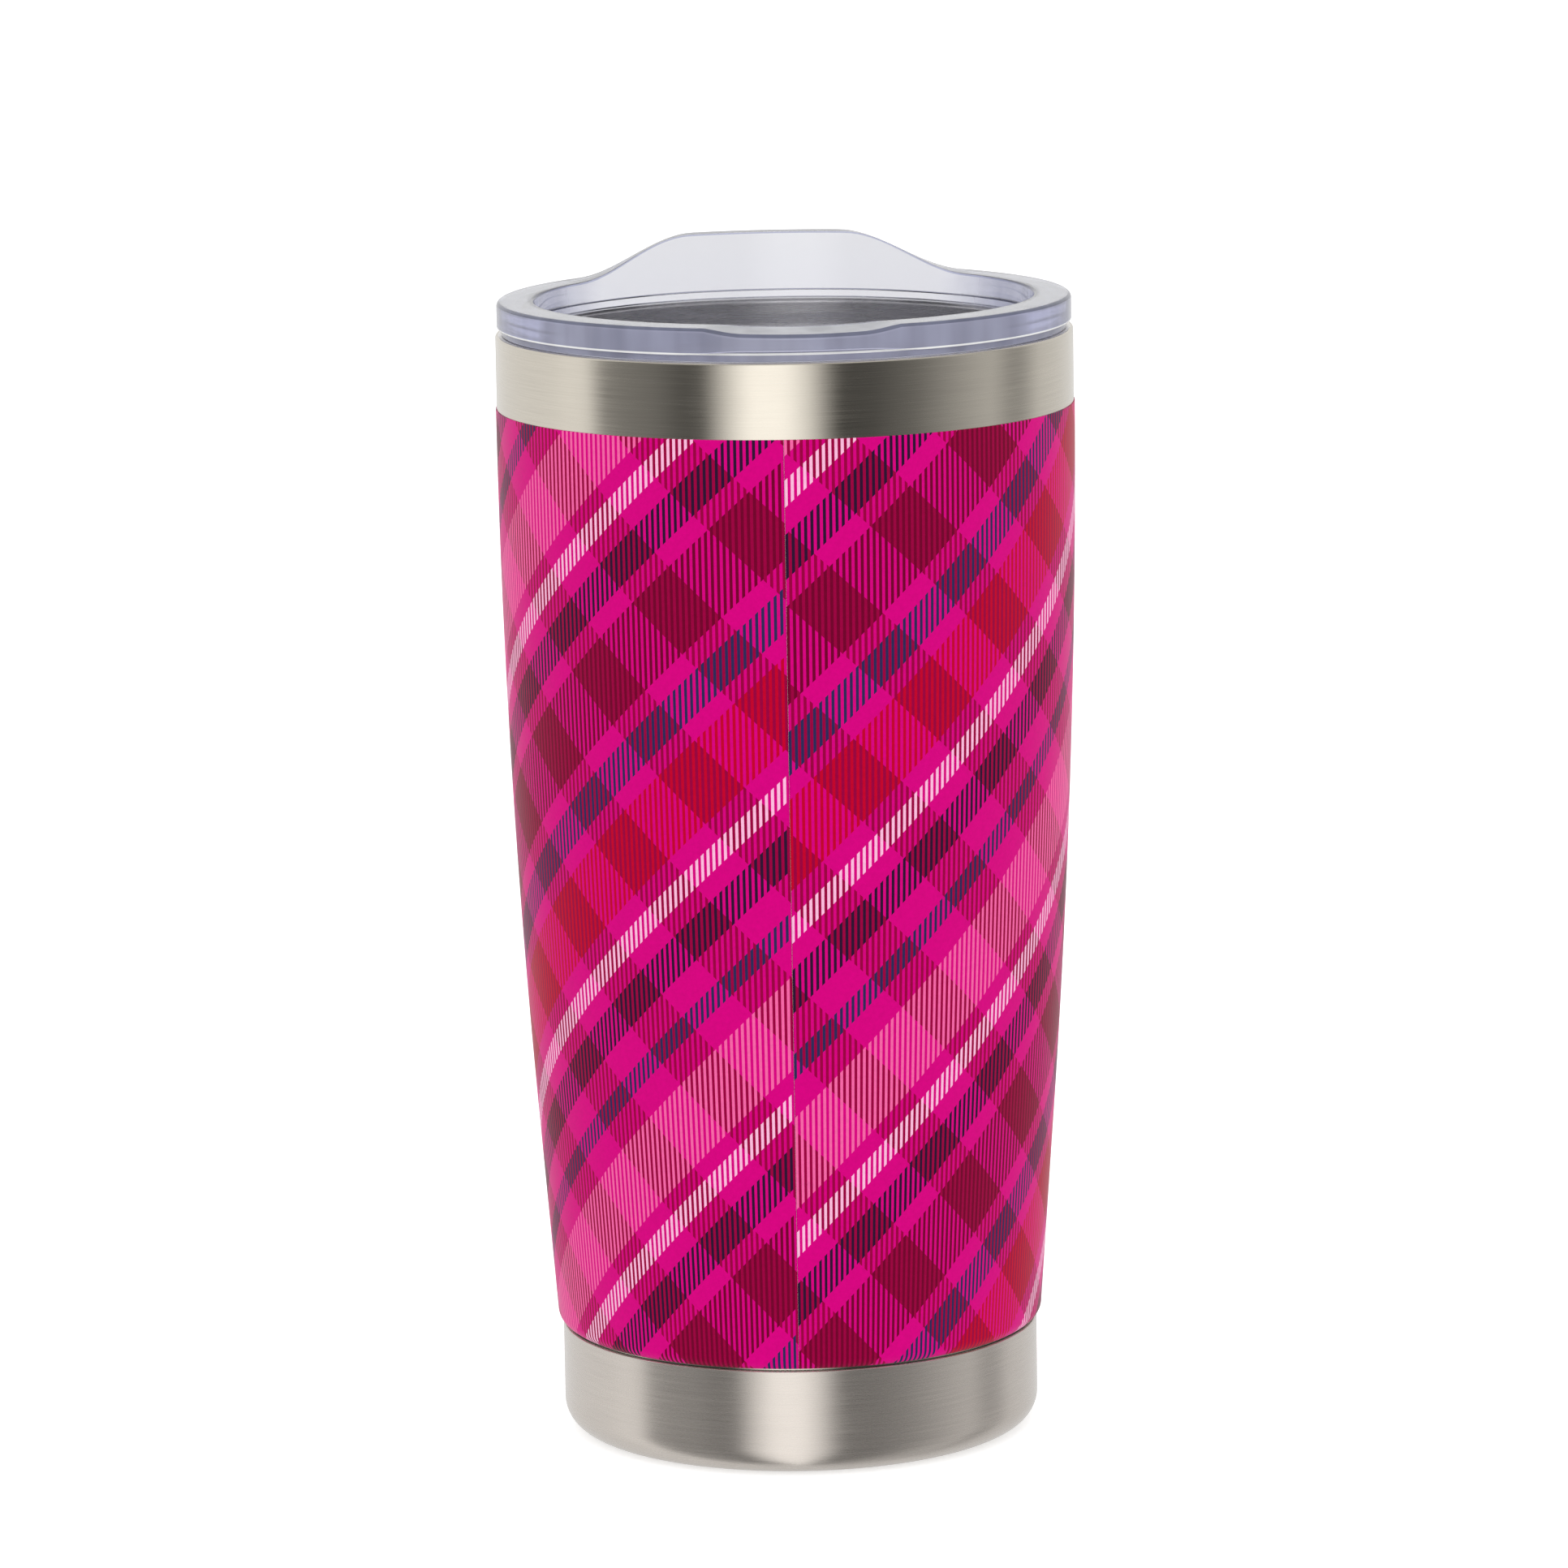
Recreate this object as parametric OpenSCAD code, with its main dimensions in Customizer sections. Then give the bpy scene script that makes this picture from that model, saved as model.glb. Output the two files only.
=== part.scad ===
// Double-wall vacuum tumbler with a printed wrap, a base cup and a clear press-in lid.
// The origin is the centre of the foot, +Z is up, and the lid's raised wall is at +Y.

/* [Body] */
// Outer diameter of the steel at the mouth
rim_d = 88.9; // [76:0.1:110]
// Height of the steel body, foot to drinking rim
body_h = 172.3; // [145:0.1:210]
// Distance below the rim at which the side starts to curve in
curve_drop = 7.3; // [4:0.1:12]
// Height over which the side curves, above the straight cone
curve_h = 115; // [80:1:120]
// Inward lean of the straight cone, mm per mm of height
side_lean = 0.075; // [0.04:0.005:0.09]
// Thickness of each steel wall
wall = 0.5; // [0.4:0.05:0.8]
// Radius of the shell's rolled lower edge
roll_r = 2; // [1.5:0.1:3]

/* [Liner] */
// From the outside of the shell to the inside of the liner
wall_stack = 4.6; // [3.5:0.1:7]
// Width of the drinking rim, from the mouth's straight wall to the outside
rim_w = 2.25; // [2:0.05:3]
// Depth of the mouth's straight wall
mouth_h = 14.3; // [13:0.1:20]
// Height over which the mouth narrows to the liner's wall
mouth_blend_h = 8; // [5:1:15]
// Height of the drinking vessel's floor
floor_h = 19; // [17:0.5:30]
// Radius of the liner's lower corner
liner_corner_r = 8; // [4:1:12]
// Radius of the drinking lip's inner edge
lip_r = 0.9; // [0.6:0.1:1.2]

/* [Base] */
// Height of the base cup
cup_h = 16.7; // [14:0.1:18]
// How far the cup's wall stands in from the shell above it
cup_step = 0.65; // [0.5:0.05:1]
// Radius of the cup's rounded foot
foot_r = 4.4; // [2:0.1:6]
// Width of the ring that the tumbler stands on
foot_ring_w = 3; // [2:0.5:6]
// Height of the hollow under the foot
foot_hollow_h = 1; // [0.5:0.1:1.5]
// Thickness of the adhesive between the neck and the cup
glue_t = 0.25; // [0.1:0.05:0.4]
// Gap between the shell's rolled edge and the cup's edge
seam_gap = 0.2; // [0.1:0.05:0.5]

/* [Vacuum parts] */
// Height of the bottom plate's flat underside
plate_h = 5; // [4:0.5:7]
// Height of the plate's welded flange
plate_flange_h = 4; // [3:0.5:5]
// Radius of the pumping dimple
dimple_r = 6; // [5:0.5:8]
// Depth of the pumping dimple
dimple_h = 1.8; // [1:0.1:2.5]
// Radius of the pumping hole
pump_hole_r = 0.8; // [0.5:0.1:1.2]
// Diameter of the getter pellet
getter_d = 8; // [6:0.5:10]
// Thickness of the getter pellet
getter_t = 2.2; // [1.5:0.1:3]
// Distance of the getter from the axis
getter_x = 17; // [15:0.5:22]
// Thickness of the getter's clip
clip_t = 0.3; // [0.2:0.05:0.5]
// Width of the getter's clip
clip_w = 3; // [2:0.5:4]

/* [Wrap] */
// Thickness of the printed film
film_t = 0.12; // [0.08:0.01:0.3]
// Thickness of the film's glue
film_glue = 0.02; // [0.01:0.01:0.05]
// How far the film runs round the shell's rolled edge, in degrees
film_turn = 60; // [20:5:60]
// Bare steel band between the wrap and the rim
band_h = 11.4; // [6:0.1:20]
// Turn of the wrap's seam from the front, towards -X
seam_turn = 4.15; // [-10:0.05:10]
// Width of the butt gap at the seam
butt_gap = 0.15; // [0.1:0.05:0.5]

/* [Lid] */
// How far the lid's ring stands in from the rim's outside
lid_inset = 0.25; // [0.1:0.05:0.6]
// Height of the lid's outer band
lid_band_h = 4.1; // [3:0.1:6]
// Height of the set-back step under the band
tier_h = 1.05; // [0.8:0.05:2]
// How far the step stands in from the band
tier_inset = 0.7; // [0.4:0.1:1]
// Width of the ring's top face
ring_w = 5.8; // [5.4:0.1:8]
// Narrowing of the well from the ring's top to the floor
well_draft = 0.8; // [0.2:0.1:1.5]
// Thickness of the lid's floor
lid_floor_t = 2; // [1.5:0.1:3]
// Radius of the band's top edge
band_edge_r = 0.8; // [0.4:0.1:1]
// Gap between the lid and the rim
seat_gap = 0.05; // [0.02:0.01:0.1]
// Height of the raised wall above the ring
hump_h = 5.6; // [3:0.1:12]
// Half width of the raised wall's level top
hump_flat = 11.7; // [8:0.1:14]
// Half width of the raised wall at its foot
hump_foot = 30.3; // [26:0.1:32]
// Thickness of the raised wall at its top
hump_top_w = 3.8; // [2.5:0.1:5]
// Depth of the dip at the front, at the outer edge
dip_h = 1.05; // [0.4:0.05:1.5]
// Half width of the dip's level part
dip_flat = 9; // [5:0.5:12]
// Half width of the dip at its ends
dip_foot = 19; // [15:0.5:24]
// Rise of the band's lower edge under the dip
dip_under_h = 0.55; // [0.2:0.05:1]

/* [Lid openings] */
// Ledge between the drink slot and the well's wall
slot_ledge = 1.1; // [0.8:0.1:3]
// Width of the drink slot
slot_w = 7.4; // [6:0.1:8]
// Half angle between the slot's rounded ends
slot_half_angle = 14; // [8:1:20]
// Distance of the vent's middle from the well's wall
vent_edge = 5; // [3:0.5:10]
// Radius of the vent
vent_r = 1.75; // [1:0.25:2]

/* [Plug and gasket] */
// Gap between the plug and the mouth
plug_gap = 0.9; // [0.6:0.1:1.2]
// Depth of the plug below the rim
plug_h = 10.8; // [9:0.1:12]
// Height of the gasket's groove
groove_h = 3.4; // [3:0.1:4]
// Depth of the groove
groove_d = 1; // [0.8:0.1:1.2]
// Height of the groove above the plug's lower edge
groove_up = 2.7; // [2:0.1:3.5]
// Clearance between the gasket and the groove's floor
gasket_fit = 0.05; // [0.02:0.01:0.1]
// Clearance between the gasket's ribs and the mouth
rib_fit = 0.1; // [0.05:0.01:0.2]
// How far the ribs stand out from the gasket
rib_h = 0.5; // [0.3:0.1:0.6]

/* [Hidden] */
$fn = 160;
arc_steps = 6;
side_steps = 24;
blend_steps = 8;
wave_steps = 14;
reach = 60;
through = 1;

// Body
rim_r = rim_d / 2;
curve_top = body_h - curve_drop;
curve_low = curve_top - curve_h;
mouth_r = rim_r - rim_w;
mouth_low = body_h - mouth_h;

// Base
roll_z = cup_h + seam_gap + roll_r;
roll_mid = side_r(roll_z) - roll_r;
cup_r = side_r(roll_z) - cup_step;
cup_in_r = cup_r - wall;
neck_r = cup_in_r - glue_t;
plate_r = neck_r - wall;

// Lid levels and radii
lid_r = rim_r - lid_inset;
tier_z = body_h + seat_gap;
band_z = tier_z + tier_h;
ring_z = band_z + lid_band_h;
hump_z = ring_z + hump_h;
tier_r = lid_r - tier_inset;
ring_in_r = lid_r - ring_w;
well_r = ring_in_r - well_draft;
plug_r = mouth_r - plug_gap;
plug_z = body_h - plug_h;
floor_z = plug_z + lid_floor_t;
groove_z = plug_z + groove_up;
groove_r = plug_r - groove_d;
slot_y = well_r - slot_ledge - slot_w / 2;
vent_y = well_r - vent_edge;

// Radius of the shell's outside at a height: a cylinder, a long curve and a straight cone
function side_r(z) =
    z >= curve_top ? rim_r :
    z >= curve_low ? rim_r - side_lean * pow(curve_top - z, 2) / (2 * curve_h) :
    rim_r - side_lean * (curve_h / 2 + curve_low - z);

// An ease from 0 to 1 with level ends
function ease(t) = let (u = min(max(t, 0), 1)) u * u * (3 - 2 * u);

// Radius of the liner's inside at a height
function liner_r(z) =
    side_r(z) - wall_stack
    + (mouth_r - side_r(z) + wall_stack) * ease((z - mouth_low + mouth_blend_h) / mouth_blend_h);

// Points along an arc in a profile
function arc(r_mid, z_mid, radius, from, to, steps = arc_steps) =
    [for (i = [0:steps]) let (a = from + (to - from) * i / steps) [r_mid + radius * cos(a), z_mid + radius * sin(a)]];

// Points up the side, drawn in from the shell's outside
function side_points(z_low, z_high, inset) =
    [for (i = [0:side_steps]) let (z = z_low + (z_high - z_low) * i / side_steps) [side_r(z) - inset, z]];

// Points down the liner, drawn out from its inside, with closer steps where the mouth narrows
function liner_points(z_low, outset) = concat(
    [for (i = [0:blend_steps]) let (z = mouth_low - mouth_blend_h * i / blend_steps) [liner_r(z) + outset, z]],
    [for (i = [1:side_steps]) let (top = mouth_low - mouth_blend_h, z = top - (top - z_low) * i / side_steps)
        [liner_r(z) + outset, z]]);

function flip(points) = [for (i = [len(points) - 1:-1:0]) points[i]];

// A level line between two half widths with eased ends, as points of height over x
function wave(flat, foot, height, base) = concat(
    [for (i = [0:wave_steps]) let (t = i / wave_steps) [-foot + (foot - flat) * t, base + height * ease(t)]],
    [for (i = [0:wave_steps]) let (t = i / wave_steps) [flat + (foot - flat) * t, base + height * ease(1 - t)]]);

module turned(points) {
    rotate_extrude() polygon(points);
}

// A prism with its outline over x and z, from the axis out to the back
module back_prism(points) {
    rotate([90, 0, 0]) translate([0, 0, -reach]) linear_extrude(reach) polygon(points);
}

module outer_shell() {
    edge_r = wall - 0.1;
    out_turn = acos((neck_r - roll_mid) / roll_r);
    in_r = roll_r - wall;
    in_turn = acos((plate_r - roll_mid) / in_r);
    color("silver") turned(concat(
        [[plate_r, plate_h], [neck_r, plate_h]],
        arc(roll_mid, roll_z, roll_r, -out_turn, 0),
        side_points(roll_z + 0.5, curve_top, 0),
        arc(rim_r - edge_r, body_h - edge_r, edge_r, 0, 90),
        [[rim_r - wall, body_h]],
        flip(side_points(roll_z + 0.5, curve_top, wall)),
        arc(roll_mid, roll_z, in_r, 0, -in_turn)));
}

module inner_liner() {
    corner_z = floor_h + liner_corner_r;
    corner_mid = liner_r(corner_z) - liner_corner_r;
    turn_in = 0.6;
    color("lightgray") turned(concat(
        [[0, floor_h - wall]],
        arc(corner_mid, corner_z, liner_corner_r + wall, -90, 0),
        flip(liner_points(corner_z + 0.5, wall)),
        [[mouth_r + wall, body_h - wall - turn_in], [mouth_r + wall + turn_in, body_h - wall]],
        [[rim_r - wall, body_h - wall], [rim_r - wall, body_h]],
        arc(mouth_r + lip_r, body_h - lip_r, lip_r, 90, 180),
        liner_points(corner_z + 0.5, 0),
        arc(corner_mid, corner_z, liner_corner_r, 0, -90),
        [[0, floor_h]]));
}

module vacuum_bottom() {
    bend_r = 1.5;
    top = plate_h + wall;
    dimple_low = plate_h + dimple_h;
    color("gray") turned(concat(
        [[pump_hole_r, dimple_low], [dimple_r, dimple_low], [dimple_r, plate_h]],
        arc(plate_r - bend_r, plate_h + bend_r, bend_r, -90, 0),
        [[plate_r, plate_h + plate_flange_h], [plate_r - wall, plate_h + plate_flange_h]],
        arc(plate_r - bend_r, plate_h + bend_r, bend_r - wall, 0, -90),
        [[dimple_r + wall, top], [dimple_r + wall, dimple_low + wall], [pump_hole_r, dimple_low + wall]]));
}

module getter_pellet() {
    color("dimgray")
        translate([getter_x, 0, plate_h + wall]) cylinder(d = getter_d, h = getter_t);
}

// A strap over the pellet with a foot on each side
module getter_clip() {
    foot_l = 3;
    span = getter_d + 2 * clip_t;
    color("darkgray") translate([getter_x, 0, plate_h + wall]) {
        translate([-clip_w / 2, -span / 2, getter_t]) cube([clip_w, span, clip_t]);
        for (side = [0, 1]) mirror([0, side, 0]) {
            translate([-clip_w / 2, getter_d / 2, 0]) cube([clip_w, clip_t, getter_t]);
            translate([-clip_w / 2, getter_d / 2 + clip_t, 0]) cube([clip_w, foot_l, clip_t]);
        }
    }
}

module vacuum_seal() {
    bead_r = dimple_r - 1.5;
    bead_h = dimple_h - 0.6;
    color("saddlebrown") translate([0, 0, plate_h + dimple_h]) {
        translate([0, 0, -bead_h]) cylinder(r1 = bead_r - 1, r2 = bead_r, h = bead_h);
        cylinder(r = pump_hole_r, h = wall);
    }
}

module base_adhesive() {
    glue_low = plate_h + 1;
    color("black") difference() {
        translate([0, 0, glue_low]) cylinder(r = cup_in_r, h = cup_h - glue_low);
        translate([0, 0, glue_low - through]) cylinder(r = neck_r, h = cup_h + 2 * through);
    }
}

module base_cup() {
    ring_out = cup_r - foot_r;
    ring_in = ring_out - foot_ring_w;
    lip = 0.3;
    color("silver") turned(concat(
        [[0, foot_hollow_h], [ring_in - foot_hollow_h, foot_hollow_h], [ring_in, 0], [ring_out, 0]],
        arc(ring_out, foot_r, foot_r, -90, 0),
        [[cup_r, cup_h - lip], [cup_r - lip, cup_h], [cup_in_r, cup_h]],
        arc(ring_out, foot_r, foot_r - wall, 0, -90),
        [[ring_in, wall], [ring_in - foot_hollow_h, foot_hollow_h + wall], [0, foot_hollow_h + wall]]));
}

module printed_wrap() {
    low = roll_z + 0.5;
    high = body_h - band_h;
    back = roll_r + film_glue;
    face = back + film_t;
    gap_angle = butt_gap / rim_r * 180 / PI;
    color("mediumvioletred")
        rotate([0, 0, -90 - seam_turn + gap_angle / 2])
            rotate_extrude(angle = 360 - gap_angle)
                polygon(concat(
                    arc(roll_mid, roll_z, face, -film_turn, 0),
                    side_points(low, high, -film_glue - film_t),
                    flip(side_points(low, high, -film_glue)),
                    arc(roll_mid, roll_z, back, 0, -film_turn)));
}

// The lid's section, with its ring finished at a given height
module lid_turning(top, top_in_r) {
    lead = 0.5;
    low_edge = 0.3;
    turned(concat(
        [[0, plug_z], [plug_r - lead, plug_z], [plug_r, plug_z + lead]],
        [[plug_r, groove_z], [groove_r, groove_z]],
        [[groove_r, groove_z + groove_h], [plug_r, groove_z + groove_h]],
        [[plug_r, tier_z], [tier_r, tier_z], [tier_r, band_z]],
        arc(lid_r - low_edge, band_z + low_edge, low_edge, -90, 0),
        arc(lid_r - band_edge_r, top - band_edge_r, band_edge_r, 0, 90),
        [[top_in_r, top], [ring_in_r, ring_z], [well_r, floor_z], [0, floor_z]]));
}

// The dip's outline over x, as a slab that opens upwards or downwards
module front_wave(height, base, far) {
    mirror([0, 1, 0]) back_prism(concat([[-dip_foot, far]], wave(dip_flat, dip_foot, height, base), [[dip_foot, far]]));
}

module lid_body() {
    dip_lean = atan((dip_h - 0.2) / ring_w);
    hole_z = plug_z - through;
    hole_h = lid_floor_t + 2 * through;
    color("lavender", 0.5) difference() {
        union() {
            lid_turning(ring_z, ring_in_r);
            intersection() {
                lid_turning(hump_z, lid_r - hump_top_w);
                back_prism(concat(
                    [[-hump_foot, band_z]],
                    wave(hump_flat, hump_foot, hump_h, ring_z),
                    [[hump_foot, band_z]]));
            }
        }
        // The dip leans outwards: full depth at the outer edge, little at the inner one
        translate([0, -lid_r, ring_z]) rotate([dip_lean, 0, 0]) translate([0, lid_r, 0])
            front_wave(-dip_h, 0, through);
        // The band's lower edge rises under the dip
        difference() {
            front_wave(dip_under_h, band_z, band_z - through);
            cylinder(r = tier_r, h = hump_z);
        }
        // Drink slot beside the raised wall
        translate([0, 0, hole_z]) rotate([0, 0, 90 - slot_half_angle]) {
            rotate_extrude(angle = 2 * slot_half_angle)
                translate([slot_y - slot_w / 2, 0]) square([slot_w, hole_h]);
            for (a = [0, 2 * slot_half_angle])
                rotate([0, 0, a]) translate([slot_y, 0, 0]) cylinder(d = slot_w, h = hole_h);
        }
        // Vent beside the dip
        translate([0, -vent_y, hole_z]) cylinder(r = vent_r, h = hole_h);
    }
}

module lid_gasket() {
    end_gap = 0.1;
    low = groove_z + end_gap;
    high = groove_z + groove_h - end_gap;
    rib_r = mouth_r - rib_fit;
    back_r = groove_r + gasket_fit;
    rib_w = 0.8;
    color("white") turned([
        [back_r, low], [rib_r - rib_h, low], [rib_r, low + rib_w / 2], [rib_r, low + rib_w],
        [rib_r - rib_h, low + rib_w * 1.4], [rib_r - rib_h, high - rib_w * 1.4], [rib_r, high - rib_w],
        [rib_r, high - rib_w / 2], [rib_r - rib_h, high], [back_r, high]
    ]);
}

outer_shell();
inner_liner();
vacuum_bottom();
getter_pellet();
getter_clip();
vacuum_seal();
base_adhesive();
base_cup();
printed_wrap();
lid_body();
lid_gasket();
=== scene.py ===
import math

import bmesh
import bpy
from mathutils import Matrix, Vector


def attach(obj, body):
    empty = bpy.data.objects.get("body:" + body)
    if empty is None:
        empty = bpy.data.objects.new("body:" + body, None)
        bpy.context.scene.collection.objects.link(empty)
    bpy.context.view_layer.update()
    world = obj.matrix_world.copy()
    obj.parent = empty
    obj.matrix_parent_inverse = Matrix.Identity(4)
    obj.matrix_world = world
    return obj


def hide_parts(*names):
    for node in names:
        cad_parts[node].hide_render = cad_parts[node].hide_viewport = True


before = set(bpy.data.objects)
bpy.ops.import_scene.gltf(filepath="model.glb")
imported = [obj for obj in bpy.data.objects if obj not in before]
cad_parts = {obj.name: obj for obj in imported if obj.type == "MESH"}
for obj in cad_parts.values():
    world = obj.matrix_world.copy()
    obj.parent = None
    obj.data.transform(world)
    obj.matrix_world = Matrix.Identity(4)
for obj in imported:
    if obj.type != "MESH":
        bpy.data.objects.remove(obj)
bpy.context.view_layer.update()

# ---- Inner liner ---------------------------------------------------------------------------
# The drinking vessel: 0.5 mm 304 stainless sheet, drawn and spun to a round cup with one long
# taper, a straight mouth for the lid's plug and a rounded drinking lip. It is welded to the
# outer shell at the top of the rim, and satin polished inside on a turning spindle.
MM = 0.001
TURN_STEPS = 256
RIM_R = 44.45
BODY_H = 172.3
SHEET = 0.5
CURVE_TOP = 165.0
CURVE_LOW = 50.0
SIDE_LEAN = 0.075
WALL_STACK = 4.6
MOUTH_R = 42.2
MOUTH_LOW = 158.0
MOUTH_BLEND = 8.0
VESSEL_FLOOR = 19.0
VESSEL_CORNER = 8.0
LIP_R = 0.9
LIP_SLOPE = 1.1
CREASE = 35


def side_radius(height):
    """Outside of the steel at a height: straight mouth, long curve, then a straight cone."""
    down = max(CURVE_TOP - height, 0)
    curve_h = CURVE_TOP - CURVE_LOW
    if down <= curve_h:
        return RIM_R - SIDE_LEAN * down ** 2 / (2 * curve_h)
    return RIM_R - SIDE_LEAN * (down - curve_h / 2)


def ease(share):
    """From 0 to 1 with level ends."""
    share = min(max(share, 0), 1)
    return share * share * (3 - 2 * share)


def vessel_radius(height):
    """Inside of the liner at a height, where the mouth narrows to the vessel's wall."""
    wall = side_radius(height) - WALL_STACK
    return wall + (MOUTH_R - wall) * ease((height - MOUTH_LOW + MOUTH_BLEND) / MOUTH_BLEND)


def draw_outline(corners):
    """A lathe outline from (radius, height) corners; one that ends on the axis stays open."""
    outline = bmesh.new()
    points = [outline.verts.new((radius * MM, 0, height * MM)) for radius, height in corners]
    on_axis = corners[0][0] == 0 and corners[-1][0] == 0
    for here, after in zip(points, points[1:] + ([] if on_axis else points[:1])):
        outline.edges.new((here, after))
    return outline


def point_at(outline, corner):
    place = Vector((corner[0] * MM, 0, corner[1] * MM))
    return min(outline.verts, key=lambda point: (point.co - place).length)


def edge_between(outline, start, end):
    start, end = point_at(outline, start), point_at(outline, end)
    return next(edge for edge in start.link_edges if edge.other_vert(start) == end)


def bend_side(outline, start, end, pieces, radius_at):
    """Divide the straight edge between two corners and lay it on a curve of radius by height."""
    edge = edge_between(outline, start, end)
    made = bmesh.ops.subdivide_edges(outline, edges=[edge], cuts=pieces - 1)
    for point in made["geom_inner"]:
        if isinstance(point, bmesh.types.BMVert):
            point.co.x = radius_at(point.co.z / MM) * MM


def round_corner(outline, corner, radius, segments=6):
    bmesh.ops.bevel(outline, geom=[point_at(outline, corner)], offset=radius * MM, offset_type="OFFSET",
                    segments=segments, profile=0.5, affect="VERTICES", material=-1)


def turn_on_lathe(outline, angle=math.tau, steps=TURN_STEPS):
    """Turn an outline about the axis, a whole turn closing on itself."""
    bmesh.ops.spin(outline, geom=outline.verts[:] + outline.edges[:], cent=(0, 0, 0),
                   axis=(0, 0, 1), dvec=(0, 0, 0), angle=angle, space=Matrix.Identity(4),
                   steps=steps, use_merge=angle == math.tau, use_duplicate=False)
    bmesh.ops.remove_doubles(outline, verts=outline.verts[:], dist=1e-7)
    bmesh.ops.recalc_face_normals(outline, faces=outline.faces[:])
    return outline


def finish_piece(name, shape, material):
    """Make the piece's object, smooth shaded between its creases."""
    mesh = bpy.data.meshes.new(name)
    shape.to_mesh(mesh)
    shape.free()
    mesh.shade_smooth()
    mesh.set_sharp_from_angle(angle=math.radians(CREASE))
    mesh.materials.append(material)
    piece = bpy.data.objects.new(name, mesh)
    bpy.context.scene.collection.objects.link(piece)
    level = piece.modifiers.new("level_faces", "WEIGHTED_NORMAL")
    level.keep_sharp = True
    return piece


def colour(hex_code):
    """An sRGB hex colour as linear red, green and blue, with an alpha of 1."""
    def linear(part):
        share = int(part, 16) / 255
        return share / 12.92 if share <= 0.04045 else ((share + 0.055) / 1.055) ** 2.4
    return (*(linear(hex_code[i:i + 2]) for i in (1, 3, 5)), 1.0)


def add(tree, kind, links=(), **settings):
    """Add a node with its settings; links gives each socket a value or another node's output."""
    node = tree.nodes.new(kind)
    for key, value in settings.items():
        setattr(node, key, value)
    for socket, value in dict(links).items():
        if isinstance(value, bpy.types.NodeSocket):
            tree.links.new(value, node.inputs[socket])
        else:
            node.inputs[socket].default_value = value
    return node


def new_material(name):
    material = bpy.data.materials.new(name)
    material.use_nodes = True
    material.node_tree.nodes.clear()
    return material, material.node_tree


def brushed_304(name, tint, roughness, grain, streak=14.0, metal=1.0):
    """Stainless steel with a belt or pad finish that runs round the piece. The grain is drawn
    0.2 mm wide or more, where real 240 grit lines are about 0.06 mm, so that it shows. It
    spreads the highlights up and down into soft upright bands and leaves fine level streaks
    in them. A metal share under 1 stands for the pale haze of a finer, matter polish."""
    material, tree = new_material(name)
    place = add(tree, "ShaderNodeTexCoord").outputs["Object"]
    axes = add(tree, "ShaderNodeSeparateXYZ", {0: place})
    flat = add(tree, "ShaderNodeCombineXYZ", {"X": axes.outputs["X"], "Y": axes.outputs["Y"]})
    radius = add(tree, "ShaderNodeVectorMath", {0: flat.outputs[0]}, operation="LENGTH")
    across = add(tree, "ShaderNodeMath",
                 {0: axes.outputs["Z"], 1: radius.outputs["Value"]}, operation="ADD")
    lay = add(tree, "ShaderNodeCombineXYZ",
              {"X": axes.outputs["X"], "Y": axes.outputs["Y"], "Z": across.outputs[0]})
    stretch = (1 / (streak * MM), 1 / (streak * MM), 1 / (grain * MM))
    lines = add(tree, "ShaderNodeVectorMath", {0: lay.outputs[0], 1: stretch},
                operation="MULTIPLY")
    grit = add(tree, "ShaderNodeTexNoise",
               {"Vector": lines.outputs[0], "Scale": 1.0, "Detail": 3.0, "Roughness": 0.65})
    cloud = add(tree, "ShaderNodeTexNoise",
                {"Vector": place, "Scale": 1 / (9 * MM), "Detail": 3.0, "Roughness": 0.55})
    shade = add(tree, "ShaderNodeMapRange",
                {"Value": grit.outputs["Fac"], "From Min": 0.3, "From Max": 0.7,
                 "To Min": 0.93, "To Max": 1.04})
    base = add(tree, "ShaderNodeVectorMath",
               {0: colour(tint)[:3], "Scale": shade.outputs["Result"]}, operation="SCALE")
    rough_lines = add(tree, "ShaderNodeMapRange",
                      {"Value": grit.outputs["Fac"], "From Min": 0.3, "From Max": 0.7,
                       "To Min": roughness - 0.05, "To Max": roughness + 0.05})
    rough_cloud = add(tree, "ShaderNodeMapRange",
                      {"Value": cloud.outputs["Fac"], "From Min": 0.3, "From Max": 0.7,
                       "To Min": -0.025, "To Max": 0.025})
    rough = add(tree, "ShaderNodeMath",
                {0: rough_lines.outputs["Result"], 1: rough_cloud.outputs["Result"]},
                operation="ADD")
    bump = add(tree, "ShaderNodeBump",
               {"Strength": 1.0, "Distance": 0.004 * MM, "Height": grit.outputs["Fac"]})
    round_lay = add(tree, "ShaderNodeVectorMath", {0: (0, 0, 1), 1: flat.outputs[0]},
                    operation="CROSS_PRODUCT")
    tangent = add(tree, "ShaderNodeVectorMath", {0: round_lay.outputs[0]},
                  operation="NORMALIZE")
    steel = add(tree, "ShaderNodeBsdfPrincipled",
                {"Base Color": base.outputs[0], "Metallic": metal, "Roughness": rough.outputs[0],
                 "Anisotropic": 0.75, "Anisotropic Rotation": 0.25,
                 "Tangent": tangent.outputs[0], "Normal": bump.outputs[0]})
    add(tree, "ShaderNodeOutputMaterial", {"Surface": steel.outputs[0]})
    return material


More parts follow.
